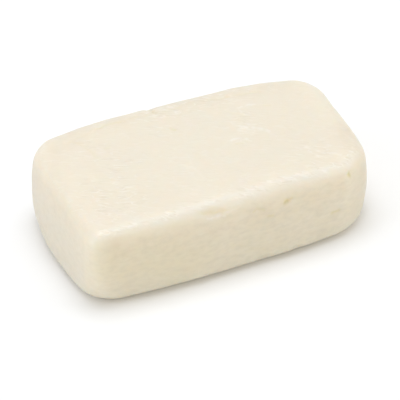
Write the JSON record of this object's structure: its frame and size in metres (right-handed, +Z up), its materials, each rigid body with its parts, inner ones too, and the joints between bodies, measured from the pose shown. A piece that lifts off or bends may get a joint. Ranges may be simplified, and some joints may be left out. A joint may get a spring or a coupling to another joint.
{
  "type": "halloumi block",
  "caption": "Whole block of pale ivory halloumi cheese, a low slab with rounded edges, swollen sides and a flat base it rests on.",
  "frame": {"origin": "middle of the block's bounding box, on the flat base it rests on", "axes": "+X along the length towards the narrower end, +Y across the width away from the side that the picture shows, +Z up"},
  "size_m": [0.1176, 0.0672, 0.0332],
  "materials": {
    "halloumi": "soft satin, slightly moist, pale ivory and faintly translucent"
  },
  "bodies": {
    "root": {"halloumi_block": "halloumi"}
  },
  "joints": []
}
